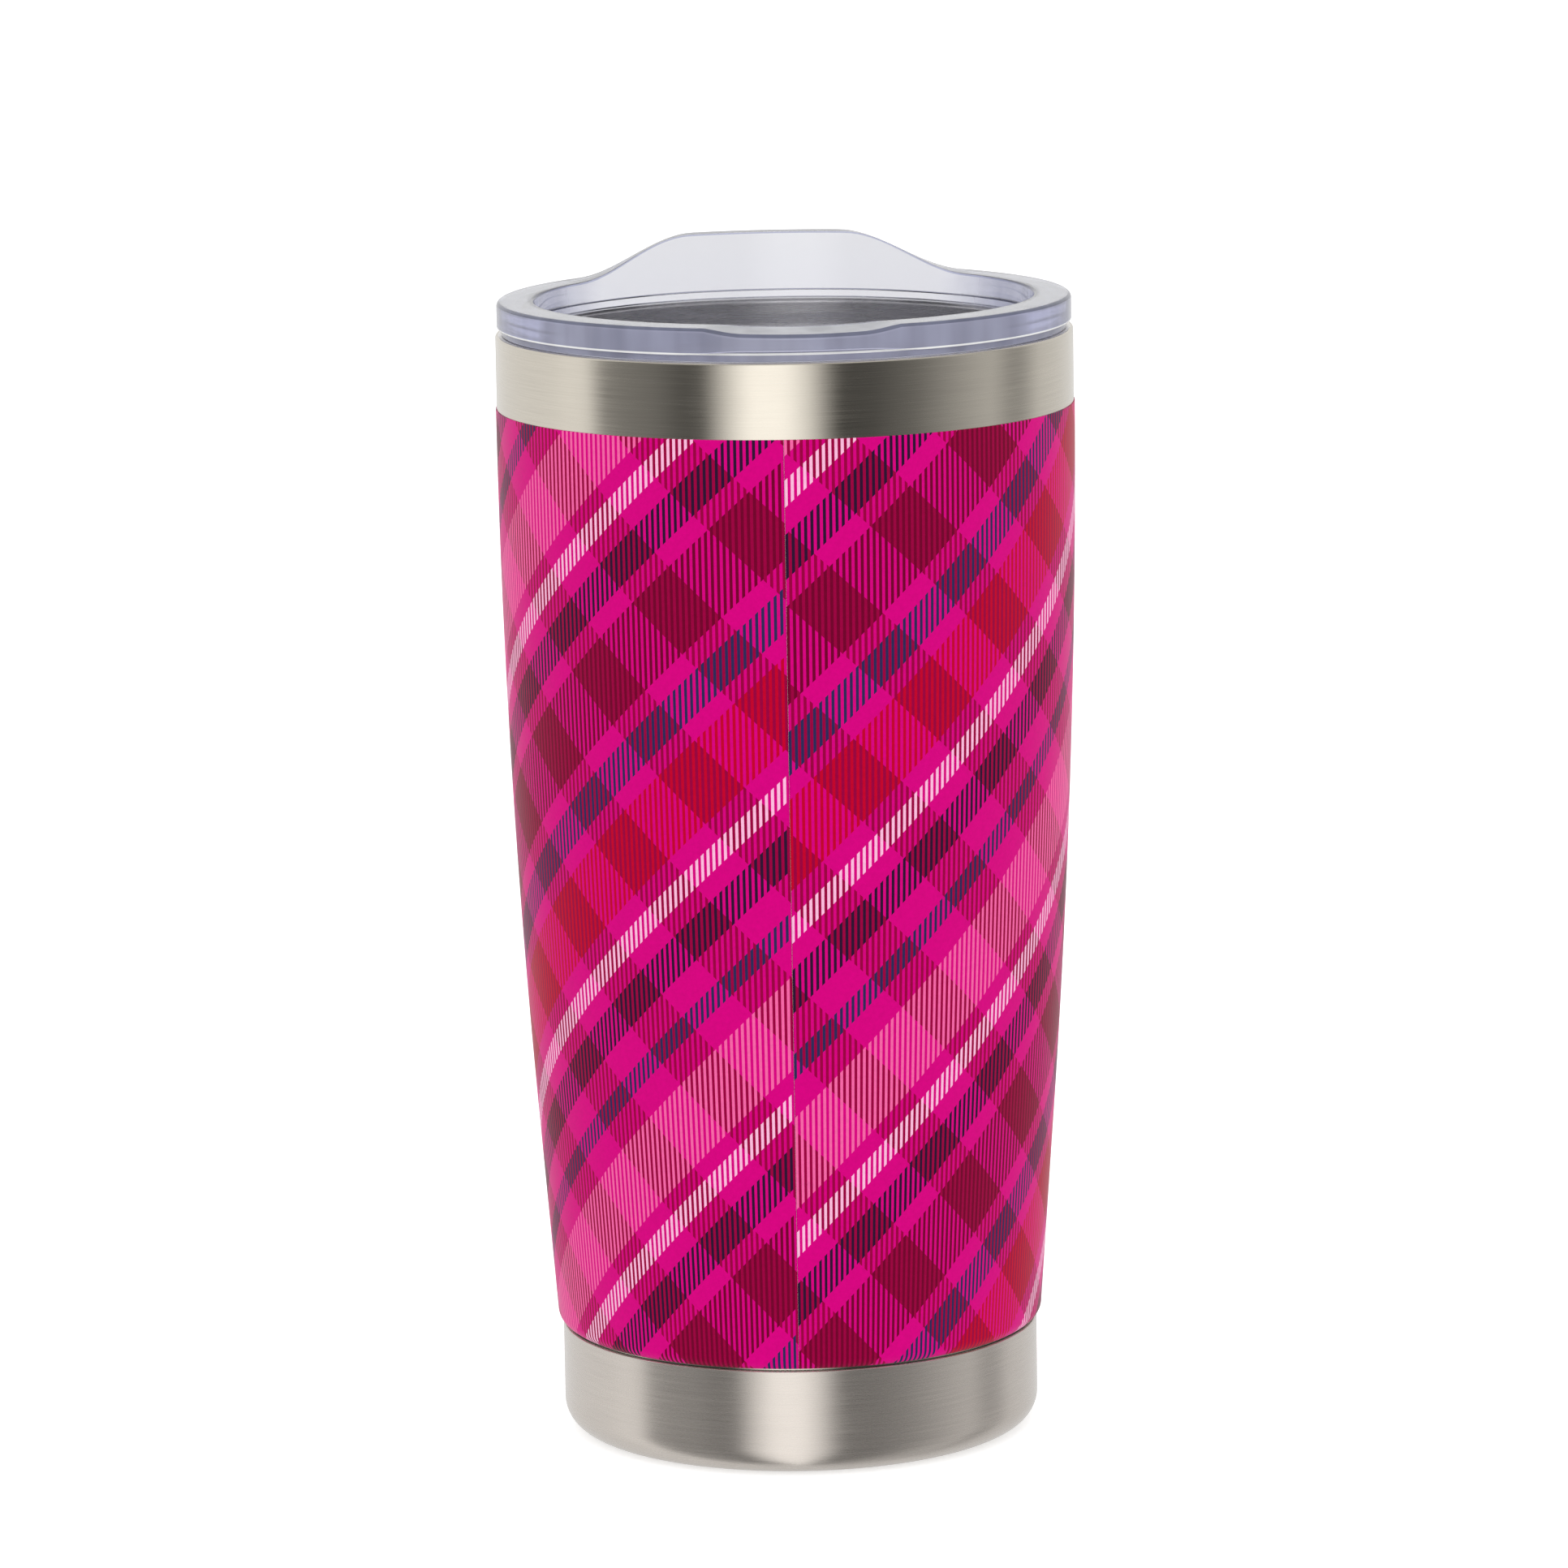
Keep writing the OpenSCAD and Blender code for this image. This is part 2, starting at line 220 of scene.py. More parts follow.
neck_in = MOUTH_LOW - MOUTH_BLEND
outside = [(vessel_radius(z) + SHEET, z) for z in (VESSEL_FLOOR, CURVE_LOW, neck_in, MOUTH_LOW)]
inside = [(vessel_radius(z), z) for z in (VESSEL_FLOOR, CURVE_LOW, neck_in, MOUTH_LOW)]
outside[0] = (outside[0][0], VESSEL_FLOOR - SHEET)
lip = (MOUTH_R, BODY_H)
outline = draw_outline([
    (0, VESSEL_FLOOR - SHEET), *outside, (MOUTH_R + SHEET, BODY_H - LIP_SLOPE),
    (MOUTH_R + LIP_SLOPE, BODY_H - SHEET), (RIM_R - SHEET, BODY_H - SHEET), (RIM_R - SHEET, BODY_H),
    lip, *reversed(inside), (0, VESSEL_FLOOR)])
for part, gauge in ((outside, SHEET), (inside, 0)):
    bend_side(outline, part[1], part[2], 24, lambda z: vessel_radius(z) + gauge)
    bend_side(outline, part[2], part[3], 8, lambda z: vessel_radius(z) + gauge)
    round_corner(outline, part[0], VESSEL_CORNER + gauge, 8)
round_corner(outline, lip, LIP_R)
liner_steel = brushed_304("spun_304_stainless_satin", "#F6F3EE", 0.27, grain=0.25, metal=0.9)
liner = finish_piece("drinking_liner", turn_on_lathe(outline), liner_steel)
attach(liner, "tumbler")
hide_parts("inner_liner")

# ---- Outer shell ---------------------------------------------------------------------------
# The outer wall: the same sheet, drawn to the taper, with its lower end turned in over a
# rolled edge to a straight neck that the base cup is glued on to. Only the band above the
# printed wrap shows, belt brushed round the body.
CUP_H = 16.7
SEAM_GAP = 0.2
ROLL_R = 2.0
CUP_STEP = 0.65
GLUE_T = 0.25
NECK_LOW = 5.0
roll_z = CUP_H + SEAM_GAP + ROLL_R
roll_mid = side_radius(roll_z) - ROLL_R
cup_r = side_radius(roll_z) - CUP_STEP
neck_r = cup_r - SHEET - GLUE_T
plate_r = neck_r - SHEET


def on_roll(bend_r, radius=None, height=None):
    """The other coordinate of a point on the rolled edge, from its height or its radius."""
    if radius is None:
        return roll_mid + math.sqrt(bend_r ** 2 - (roll_z - height) ** 2)
    return roll_z - math.sqrt(bend_r ** 2 - (radius - roll_mid) ** 2)


neck_top = (neck_r, on_roll(ROLL_R, radius=neck_r))
plate_top = (plate_r, on_roll(ROLL_R - SHEET, radius=plate_r))
outside = [(side_radius(z), z) for z in (roll_z, CURVE_LOW, CURVE_TOP)]
inside = [(radius - SHEET, z) for radius, z in outside]
rim_edge = (RIM_R, BODY_H)
outline = draw_outline([
    (plate_r, NECK_LOW), (neck_r, NECK_LOW), neck_top, *outside, rim_edge,
    (RIM_R - SHEET, BODY_H), *reversed(inside), plate_top])
bend_side(outline, neck_top, outside[0], 10, lambda z: on_roll(ROLL_R, height=z))
bend_side(outline, plate_top, inside[0], 10, lambda z: on_roll(ROLL_R - SHEET, height=z))
bend_side(outline, outside[1], outside[2], 30, side_radius)
bend_side(outline, inside[1], inside[2], 30, lambda z: side_radius(z) - SHEET)
round_corner(outline, rim_edge, SHEET - 0.1, 5)
shell_steel = brushed_304("belt_brushed_304_stainless", "#D8D1C4", 0.24, grain=0.2)
shell = finish_piece("brushed_shell", turn_on_lathe(outline), shell_steel)
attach(shell, "tumbler")
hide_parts("outer_shell")

# ---- Vacuum parts --------------------------------------------------------------------------
# Sealed inside for good: the bottom plate welded into the neck, the getter pellet under its
# spot-welded clip, and the bead of solder glass that closed the pumping hole in the furnace.


def mill_sheet(name, tint, roughness, grain):
    """Bright annealed sheet as rolled: a faint straight grain and cloudy patches."""
    material, tree = new_material(name)
    place = add(tree, "ShaderNodeTexCoord").outputs["Object"]
    lines = add(tree, "ShaderNodeVectorMath",
                {0: place, 1: (1 / (12 * MM), 1 / (grain * MM), 1 / (12 * MM))},
                operation="MULTIPLY")
    rolled = add(tree, "ShaderNodeTexNoise",
                 {"Vector": lines.outputs[0], "Scale": 1.0, "Detail": 3.0})
    shade = add(tree, "ShaderNodeMix",
                {0: rolled.outputs["Fac"], 6: colour(tint),
                 7: tuple(0.8 * part for part in colour(tint)[:3]) + (1,)},
                data_type="RGBA")
    rough = add(tree, "ShaderNodeMapRange",
                {"Value": rolled.outputs["Fac"], "To Min": roughness - 0.08,
                 "To Max": roughness + 0.08})
    metal = add(tree, "ShaderNodeBsdfPrincipled",
                {"Base Color": shade.outputs[2], "Metallic": 1.0,
                 "Roughness": rough.outputs[0]})
    add(tree, "ShaderNodeOutputMaterial", {"Surface": metal.outputs[0]})
    return material


def pressed_or_glazed(name, light, dark, grain, roughness, depth):
    """Powder, glass or glue with its own mottling and a fine uneven skin."""
    material, tree = new_material(name)
    place = add(tree, "ShaderNodeTexCoord").outputs["Object"]
    specks = add(tree, "ShaderNodeTexNoise",
                 {"Vector": place, "Scale": 1 / (grain * MM), "Detail": 4.0, "Roughness": 0.6})
    shade = add(tree, "ShaderNodeMix",
                {0: specks.outputs["Fac"], 6: colour(dark), 7: colour(light)},
                data_type="RGBA")
    bump = add(tree, "ShaderNodeBump", {"Distance": depth * MM, "Height": specks.outputs["Fac"]})
    skin = add(tree, "ShaderNodeBsdfPrincipled",
               {"Base Color": shade.outputs[2], "Roughness": roughness,
                "Normal": bump.outputs[0]})
    add(tree, "ShaderNodeOutputMaterial", {"Surface": skin.outputs[0]})
    return material


def dress(node, material):
    """Give a part that is carried over from the frame its material."""
    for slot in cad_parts[node].material_slots:
        slot.material = material


plate_sheet = mill_sheet("rolled_304_sheet_2B", "#B4B1AC", 0.34, 0.25)
dress("vacuum_bottom", plate_sheet)
dress("getter_clip", plate_sheet)
dress("getter_pellet", pressed_or_glazed("pressed_zirconium_powder", "#4A4A4E", "#2C2C30",
                                         0.25, 0.85, 0.03))
dress("vacuum_seal", pressed_or_glazed("fired_solder_glass", "#5A4632", "#33241A",
                                       1.2, 0.18, 0.02))

# ---- Base cup and its glue -----------------------------------------------------------------
# A shallow drawn 304 cup with a broad rounded foot, pushed up over the shell's neck on a ring
# of black adhesive. It stands on a narrow ring, and its finish is a little matter than the band.
FOOT_R = 4.4
FOOT_RING_W = 3.0
FOOT_HOLLOW = 1.0

ring_out = cup_r - FOOT_R
ring_in = ring_out - FOOT_RING_W
corners = [
    (0, FOOT_HOLLOW), (ring_in - FOOT_HOLLOW, FOOT_HOLLOW), (ring_in, 0), (cup_r, 0),
    (cup_r, CUP_H), (cup_r - SHEET, CUP_H), (cup_r - SHEET, SHEET), (ring_in, SHEET),
    (ring_in - FOOT_HOLLOW, FOOT_HOLLOW + SHEET), (0, FOOT_HOLLOW + SHEET)]
outline = draw_outline(corners)
round_corner(outline, corners[3], FOOT_R, 12)
round_corner(outline, corners[4], 0.3, 4)
round_corner(outline, corners[6], FOOT_R - SHEET, 12)
round_corner(outline, corners[1], 0.5, 3)
round_corner(outline, corners[2], 0.5, 3)
base_steel = brushed_304("satin_304_stainless_base", "#D4CCC4", 0.26, grain=0.2, streak=12.0,
                         metal=0.75)
base = finish_piece("base_cup_steel", turn_on_lathe(outline), base_steel)
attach(base, "tumbler")
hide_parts("base_cup")
dress("base_adhesive", pressed_or_glazed("cured_polyurethane_adhesive", "#1B1B1D", "#0C0C0E",
                                         2.0, 0.5, 0.05))

# ---- Printed wrap --------------------------------------------------------------------------
# A satin polypropylene film printed with a bias tartan, cut to the body's cone and wrapped
# once round it, its two ends butted a little left of the front without matching the pattern.
# The tartan is upright hatching: even lines carry the rising stripes, odd ones the falling.
# The butt gap is drawn nearly closed, with a thin painted shade beside it that stands in for the shade
# in the gap.
FILM_LOW = 17.0
FILM_HIGH = 160.9
FILM_TURN = math.radians(60)
FILM_T = 0.12
FILM_GLUE = 0.02
SEAM_TURN = 4.15
BUTT_GAP = 0.02
# Width in turns of the painted shade along the butt gap.
SEAM_SHADE = 0.0005
HATCH_LINES = 296
RISE_PER_TURN = 253.8
RISING_REPEAT = 115.8
RISING_START = 159.3
FALLING_REPEAT = 23.14
FALLING_START = 161.84
RISING_STRIPES = [
    (0.0, "#F868A8"), (0.6, "#D90081"), (4.5, "#FFBEE0"), (8.5, "#D90081"), (12.4, "#2E1234"),
    (19.2, "#D90081"), (23.2, "#74002C"), (38.0, "#D90081"), (42.1, "#2E2A5A"),
    (48.9, "#D90081"), (52.8, "#C4002C"), (66.9, "#D90081"), (70.8, "#FFBEE0"),
    (74.9, "#D90081"), (78.8, "#2E1234"), (85.6, "#D90081"), (92.1, "#2E2A5A"),
    (96.3, "#D90081"), (101.9, "#F868A8")]
FALLING_STRIPES = [(0.0, "#9B0040"), (2.57, "#D90081"), (14.14, "#9B0040")]


def stripes(tree, position, repeat, bands):
    """Bands of flat ink that repeat along a position in millimetres."""
    share = add(tree, "ShaderNodeMath", {0: position, 1: repeat}, operation="DIVIDE")
    share = add(tree, "ShaderNodeMath", {0: share.outputs[0]}, operation="FRACT")
    ramp = add(tree, "ShaderNodeValToRGB", {"Fac": share.outputs[0]})
    ramp.color_ramp.interpolation = "CONSTANT"
    while len(ramp.color_ramp.elements) > 1:
        ramp.color_ramp.elements.remove(ramp.color_ramp.elements[0])
    ramp.color_ramp.elements[0].position = 0.0
    ramp.color_ramp.elements[0].color = colour(bands[0][1])
    for start, ink in bands[1:]:
        ramp.color_ramp.elements.new(start / repeat).color = colour(ink)
    return ramp.outputs["Color"]


def tartan_film(name):
    """Flexographic print on satin polypropylene: solid inks, a soft grazing sheen from the
    laminate, a fine embossed tooth and a slightly uneven ink lay-down."""
    material, tree = new_material(name)
    wrap = add(tree, "ShaderNodeUVMap", uv_map="wrap")
    parts = add(tree, "ShaderNodeSeparateXYZ", {0: wrap.outputs[0]})
    turns = parts.outputs["X"]
    height = add(tree, "ShaderNodeMapRange",
                 {"Value": parts.outputs["Y"], "To Min": FILM_LOW, "To Max": FILM_HIGH})
    climb = add(tree, "ShaderNodeMath", {0: turns, 1: RISE_PER_TURN}, operation="MULTIPLY")
    rising = add(tree, "ShaderNodeMath", {0: climb.outputs[0], 1: height.outputs[0]},
                 operation="SUBTRACT")
    rising = add(tree, "ShaderNodeMath", {0: rising.outputs[0], 1: RISING_START},
                 operation="ADD")
    falling = add(tree, "ShaderNodeMath", {0: climb.outputs[0], 1: height.outputs[0]},
                  operation="ADD")
    falling = add(tree, "ShaderNodeMath", {0: FALLING_START, 1: falling.outputs[0]},
                  operation="SUBTRACT")
    hatch = add(tree, "ShaderNodeMath", {0: turns, 1: HATCH_LINES}, operation="MULTIPLY")
    hatch = add(tree, "ShaderNodeMath", {0: hatch.outputs[0]}, operation="FRACT")
    odd = add(tree, "ShaderNodeMath", {0: hatch.outputs[0], 1: 0.5}, operation="GREATER_THAN")
    ink = add(tree, "ShaderNodeMix",
              {0: odd.outputs[0],
               6: stripes(tree, rising.outputs[0], RISING_REPEAT, RISING_STRIPES),
               7: stripes(tree, falling.outputs[0], FALLING_REPEAT, FALLING_STRIPES)},
              data_type="RGBA")
    place = add(tree, "ShaderNodeTexCoord").outputs["Object"]
    laydown = add(tree, "ShaderNodeTexNoise",
                  {"Vector": place, "Scale": 1 / (0.6 * MM), "Detail": 3.0, "Roughness": 0.6})
    shade = add(tree, "ShaderNodeMapRange",
                {"Value": laydown.outputs["Fac"], "From Min": 0.3, "From Max": 0.7,
                 "To Min": 1.0, "To Max": 1.12})
    # Painted shade along the butt gap: the ink is darkened toward the seam, down to half.
    from_seam = add(tree, "ShaderNodeMath", {0: turns, 1: 0.5}, operation="PINGPONG")
    seam_painted_shade = add(tree, "ShaderNodeMapRange",
                   {"Value": from_seam.outputs[0], "From Min": 0.0, "From Max": SEAM_SHADE,
                    "To Min": 0.5, "To Max": 1.0})
    shade = add(tree, "ShaderNodeMath", {0: shade.outputs["Result"], 1: seam_painted_shade.outputs["Result"]},
                operation="MULTIPLY")
    base = add(tree, "ShaderNodeVectorMath",
               {0: ink.outputs[2], "Scale": shade.outputs[0]}, operation="SCALE")
    tooth = add(tree, "ShaderNodeTexNoise",
                {"Vector": place, "Scale": 1 / (0.35 * MM), "Detail": 2.0})
    bump = add(tree, "ShaderNodeBump",
               {"Strength": 0.5, "Distance": 0.008 * MM, "Height": tooth.outputs["Fac"]})
    rough = add(tree, "ShaderNodeMapRange",
                {"Value": laydown.outputs["Fac"], "From Min": 0.3, "From Max": 0.7,
                 "To Min": 0.40, "To Max": 0.48})
    film = add(tree, "ShaderNodeBsdfPrincipled",
               {"Base Color": base.outputs[0], "Roughness": rough.outputs[0],
                "IOR": 1.49, "Specular IOR Level": 0.03, "Sheen Weight": 0.2,
                "Sheen Roughness": 0.35, "Normal": bump.outputs[0]})
    add(tree, "ShaderNodeOutputMaterial", {"Surface": film.outputs[0]})
    return material


gap_turn = BUTT_GAP / RIM_R
seam_angle = math.radians(-90 - SEAM_TURN)
skins = []
for raise_by in (FILM_GLUE, FILM_GLUE + FILM_T):
    around = ROLL_R + raise_by
    low = (roll_mid + around * math.cos(FILM_TURN), roll_z - around * math.sin(FILM_TURN))
    skins.append([low] + [(side_radius(z) + raise_by, z) for z in (roll_z, CURVE_LOW, FILM_HIGH)])
outline = draw_outline([*skins[1], *reversed(skins[0])])
for skin, raise_by in zip(skins, (FILM_GLUE, FILM_GLUE + FILM_T)):
    bend_side(outline, skin[0], skin[1], 8, lambda z: on_roll(ROLL_R + raise_by, height=z))
    bend_side(outline, skin[2], skin[3], 30, lambda z: side_radius(z) + raise_by)
bmesh.ops.rotate(outline, verts=outline.verts[:], cent=(0, 0, 0),
                 matrix=Matrix.Rotation(seam_angle + gap_turn / 2, 3, "Z"))
film = turn_on_lathe(outline, math.tau - gap_turn)
bmesh.ops.holes_fill(film, edges=[e for e in film.edges if e.is_boundary], sides=0)
bmesh.ops.recalc_face_normals(film, faces=film.faces[:])
wrap_map = film.loops.layers.uv.new("wrap")
for face in film.faces:
    for loop in face.loops:
        spot = loop.vert.co
        turn = (math.atan2(spot.y, spot.x) - seam_angle) / math.tau % 1.0
        up = (spot.z / MM - FILM_LOW) / (FILM_HIGH - FILM_LOW)
        loop[wrap_map].uv = (turn, up)
wrap = finish_piece("tartan_wrap", film, tartan_film("printed_polypropylene_satin"))
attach(wrap, "tumbler")
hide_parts("printed_wrap")

# ---- Lid gasket ----------------------------------------------------------------------------
# A moulded ring of translucent silicone in the plug's groove. Its two ribs press on the
# mouth, and it stays with the lid when that is pulled out.
PLUG_R = 41.3
GROOVE_LOW = 164.2
GROOVE_H = 3.4
GROOVE_R = 40.3
RIB_R = 42.1
RIB_H = 0.5
RIB_W = 0.8


def cast_silicone(name):
    """Platinum silicone, milky and soft: light goes a little way in, and the skin is matte."""
    material, tree = new_material(name)
    place = add(tree, "ShaderNodeTexCoord").outputs["Object"]
    haze = add(tree, "ShaderNodeTexNoise",
               {"Vector": place, "Scale": 1 / (3 * MM), "Detail": 3.0})
    shade = add(tree, "ShaderNodeMix",
                {0: haze.outputs["Fac"], 6: colour("#DADDE2"), 7: colour("#EDEFF2")},
                data_type="RGBA")
    rough = add(tree, "ShaderNodeMapRange",
                {"Value": haze.outputs["Fac"], "To Min": 0.38, "To Max": 0.52})
    rubber = add(tree, "ShaderNodeBsdfPrincipled",
                 {"Base Color": shade.outputs[2], "Roughness": rough.outputs[0],
                  "IOR": 1.41, "Transmission Weight": 0.35})
    add(tree, "ShaderNodeOutputMaterial", {"Surface": rubber.outputs[0]})
    return material


gasket_low = GROOVE_LOW + 0.1
gasket_high = GROOVE_LOW + GROOVE_H - 0.1
corners = [
    (GROOVE_R + 0.05, gasket_low), (RIB_R - RIB_H, gasket_low), (RIB_R, gasket_low + RIB_W * 0.75),
    (RIB_R - RIB_H, gasket_low + RIB_W * 1.4), (RIB_R - RIB_H, gasket_high - RIB_W * 1.4),
    (RIB_R, gasket_high - RIB_W * 0.75), (RIB_R - RIB_H, gasket_high),
    (GROOVE_R + 0.05, gasket_high)]
outline = draw_outline(corners)
for rib in (corners[2], corners[5]):
    round_corner(outline, rib, 0.2, 4)
gasket = finish_piece("silicone_gasket", turn_on_lathe(outline),
                      cast_silicone("platinum_silicone_translucent"))
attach(gasket, "gasket")
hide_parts("lid_gasket")

# ---- Lid -----------------------------------------------------------------------------------
# One injection moulding in clear copolyester with a faint blue cast: a thick ring, a plug that
# fills the mouth round a deep well, a wall raised at the back by the drink slot, and a dip in
# the ring at the front for the lower lip, with the vent in the well's floor behind it.
LID_R = 44.2
TIER_R = 43.5
TIER_Z = 172.35
BAND_Z = 173.4
RING_Z = 177.5
RING_IN_R = 38.4
WELL_R = 37.6
PLUG_LOW = 161.5
FLOOR_Z = 163.5
HUMP_H = 5.6
HUMP_FLAT = 11.7
HUMP_FOOT = 30.3
HUMP_IN_R = 40.4
DIP_H = 1.05
DIP_INNER_H = 0.2
DIP_FLAT = 9.0
DIP_FOOT = 19.0
DIP_UNDER_H = 0.55
SLOT_MID_R = 32.8
SLOT_W = 7.4
SLOT_HALF_ANGLE = 14
VENT_Y = -32.6
VENT_R = 1.75
OPENING_EDGE_R = 0.3
OVERCUT = 1.0
MILKY_LEAST = 0.40
MILKY_MOST = 0.54
# The lip's painted highlight line: its milky share, its middle above the band and its half height.
LIP_HIGHLIGHT_MILKY = 0.4
LIP_HIGHLIGHT_MID = 0.18
LIP_HIGHLIGHT_HALF = 0.17
FADE_START_Y = 22
FADE_END_Y = 34
# Normal above which the ring's top gets a painted reflection, painted paler.
PAINTED_TOP_NORMAL = 0.93
# Normal and spread of the painted shade on the lid's rounded edges.
SHADED_EDGE_NORMAL = 0.67
SHADED_EDGE_SPREAD = 0.26
CLEAR_SHARE = 0.96


def clear_copolyester(name):
    """Clear moulded copolyester: nearly smooth, with a long faint flow waviness from the mould
    and a blue cast. The thick ring is milky with uneven veils, and the lip under it carries a painted
    highlight line.
    Its level top is painted paler as a painted reflection, and the rounded edges are painted darker as
    painted shade, as thick plastic reads."""
    material, tree = new_material(name)
    place = add(tree, "ShaderNodeTexCoord").outputs["Object"]
    flow = add(tree, "ShaderNodeTexNoise",
               {"Vector": place, "Scale": 1 / (9 * MM), "Detail": 1.0})
    haze = add(tree, "ShaderNodeTexNoise",
               {"Vector": place, "Scale": 1 / (2.5 * MM), "Detail": 4.0, "Roughness": 0.7})
    rough = add(tree, "ShaderNodeMapRange",
                {"Value": haze.outputs["Fac"], "From Min": 0.35, "From Max": 0.75,
                 "To Min": 0.015, "To Max": 0.07})
    bump = add(tree, "ShaderNodeBump",
               {"Strength": 0.6, "Distance": 0.05 * MM, "Height": flow.outputs["Fac"]})
    axes = add(tree, "ShaderNodeSeparateXYZ", {0: place})
    flat = add(tree, "ShaderNodeCombineXYZ", {"X": axes.outputs["X"], "Y": axes.outputs["Y"]})
    radius = add(tree, "ShaderNodeVectorMath", {0: flat.outputs[0]}, operation="LENGTH")
    raised = add(tree, "ShaderNodeMapRange",
                 {"Value": axes.outputs["Z"], "From Min": (RING_Z + 0.2) * MM,
                  "From Max": (RING_Z + 1.4) * MM})
    # Masks: the part above the seat, the ring out from the well, and the ring's front half.
    above_seat = add(tree, "ShaderNodeMapRange",
                     {"Value": axes.outputs["Z"], "From Min": (TIER_Z - 0.1) * MM,
                      "From Max": (TIER_Z + 0.2) * MM})
    outward = add(tree, "ShaderNodeMapRange",
                  {"Value": radius.outputs["Value"], "From Min": (RING_IN_R + 0.4) * MM,
                   "From Max": (RING_IN_R + 1.2) * MM})
    ring = add(tree, "ShaderNodeMath",
               {0: above_seat.outputs["Result"], 1: outward.outputs["Result"]},
               operation="MULTIPLY")
    ring = add(tree, "ShaderNodeMath", {0: ring.outputs[0], 1: raised.outputs["Result"]},
               operation="SUBTRACT", use_clamp=True)
    behind = add(tree, "ShaderNodeMapRange",
                 {"Value": axes.outputs["Y"], "From Min": FADE_START_Y * MM,
                  "From Max": FADE_END_Y * MM, "To Min": 1.0, "To Max": 0.0})
    ring = add(tree, "ShaderNodeMath", {0: ring.outputs[0], 1: behind.outputs["Result"]},
               operation="MULTIPLY")
    upright = add(tree, "ShaderNodeVectorMath",
                  {0: place, 1: (1 / (5 * MM), 1 / (5 * MM), 1 / (30 * MM))},
                  operation="MULTIPLY")
    veil = add(tree, "ShaderNodeTexNoise",
               {"Vector": upright.outputs[0], "Scale": 1.0, "Detail": 2.0})
    milky = add(tree, "ShaderNodeMapRange",
                {"Value": veil.outputs["Fac"], "From Min": 0.35, "From Max": 0.65,
                 "To Min": MILKY_LEAST, "To Max": MILKY_MOST})
    milky = add(tree, "ShaderNodeMath", {0: ring.outputs[0], 1: milky.outputs["Result"]},
                operation="MULTIPLY")
    thin = add(tree, "ShaderNodeMix",
               {0: above_seat.outputs["Result"], 6: colour("#F6F6F9"), 7: colour("#D2D2D4")},
               data_type="RGBA")
    tint = add(tree, "ShaderNodeMix",
               {0: ring.outputs[0], 6: thin.outputs[2], 7: colour("#C9CBE6")}, data_type="RGBA")
    # Painted highlight: a thin white, more milky line just above the band's lower edge.
    lip = add(tree, "ShaderNodeMath",
              {0: axes.outputs["Z"], 1: (BAND_Z + LIP_HIGHLIGHT_MID) * MM, 2: LIP_HIGHLIGHT_HALF * MM},
              operation="COMPARE")
    lip = add(tree, "ShaderNodeMath", {0: ring.outputs[0], 1: lip.outputs[0]},
              operation="MULTIPLY")
    tint = add(tree, "ShaderNodeMix",
               {0: lip.outputs[0], 6: tint.outputs[2], 7: colour("#FFFFFF")}, data_type="RGBA")
    milky = add(tree, "ShaderNodeMath", {0: lip.outputs[0], 1: LIP_HIGHLIGHT_MILKY, 2: milky.outputs[0]},
                operation="MULTIPLY_ADD")
    facing = add(tree, "ShaderNodeNewGeometry").outputs["Normal"]
    facing = add(tree, "ShaderNodeSeparateXYZ", {0: facing}).outputs["Z"]
    # Painted reflection: where the ring faces up it is painted paler.
    level = add(tree, "ShaderNodeMath", {0: facing, 1: PAINTED_TOP_NORMAL},
                operation="GREATER_THAN")
    level = add(tree, "ShaderNodeMath", {0: ring.outputs[0], 1: level.outputs[0]},
                operation="MULTIPLY")
    tint = add(tree, "ShaderNodeMix",
               {0: level.outputs[0], 6: tint.outputs[2], 7: colour("#EDEEF6")},
               data_type="RGBA")
    # Painted shade: rounded edges above the seat are painted darker.
    edge = add(tree, "ShaderNodeMath", {0: facing, 1: SHADED_EDGE_NORMAL, 2: SHADED_EDGE_SPREAD},
               operation="COMPARE")
    edge = add(tree, "ShaderNodeMath", {0: above_seat.outputs["Result"], 1: edge.outputs[0]},
               operation="MULTIPLY")
    tint = add(tree, "ShaderNodeMix",
               {0: edge.outputs[0], 6: tint.outputs[2], 7: colour("#8C90AC")},
               data_type="RGBA")
    through = add(tree, "ShaderNodeMath", {0: CLEAR_SHARE, 1: milky.outputs[0]},
                  operation="SUBTRACT")
    clear = add(tree, "ShaderNodeBsdfPrincipled",
                {"Base Color": tint.outputs[2], "Roughness": rough.outputs[0], "IOR": 1.45,
                 "Transmission Weight": through.outputs[0], "Normal": bump.outputs[0]})
    cast = add(tree, "ShaderNodeVolumeAbsorption",
               {"Color": colour("#A8AEE0"), "Density": 20.0})
    add(tree, "ShaderNodeOutputMaterial",
        {"Surface": clear.outputs[0], "Volume": cast.outputs[0]})
    return material


below_ring = (RING_IN_R - 0.07, RING_Z - 1.2)
corners = [
    (WELL_R - 3, FLOOR_Z), (WELL_R, FLOOR_Z), (RING_IN_R, RING_Z), (LID_R, RING_Z),
    (LID_R, BAND_Z), (TIER_R, BAND_Z), (TIER_R, TIER_Z), (PLUG_R, TIER_Z),
    (PLUG_R, GROOVE_LOW + GROOVE_H), (GROOVE_R, GROOVE_LOW + GROOVE_H), (GROOVE_R, GROOVE_LOW),
    (PLUG_R, GROOVE_LOW), (PLUG_R, PLUG_LOW), (WELL_R - 3, PLUG_LOW)]
outline = draw_outline(corners[:2] + [below_ring] + corners[2:])
outline.edges.remove(edge_between(outline, corners[0], corners[-1]))
for corner, radius in ((1, 0.8), (2, 0.5), (3, 0.8), (4, 0.3), (6, 0.2), (12, 0.5)):
    round_corner(outline, corners[corner], radius, 6 if radius > 0.6 else 4)
lid_shape = turn_on_lathe(outline)


def swell(x, flat, foot):
    """1 across a level middle, easing to 0 at the foot on each side."""
    return ease((foot - abs(x)) / (foot - flat))


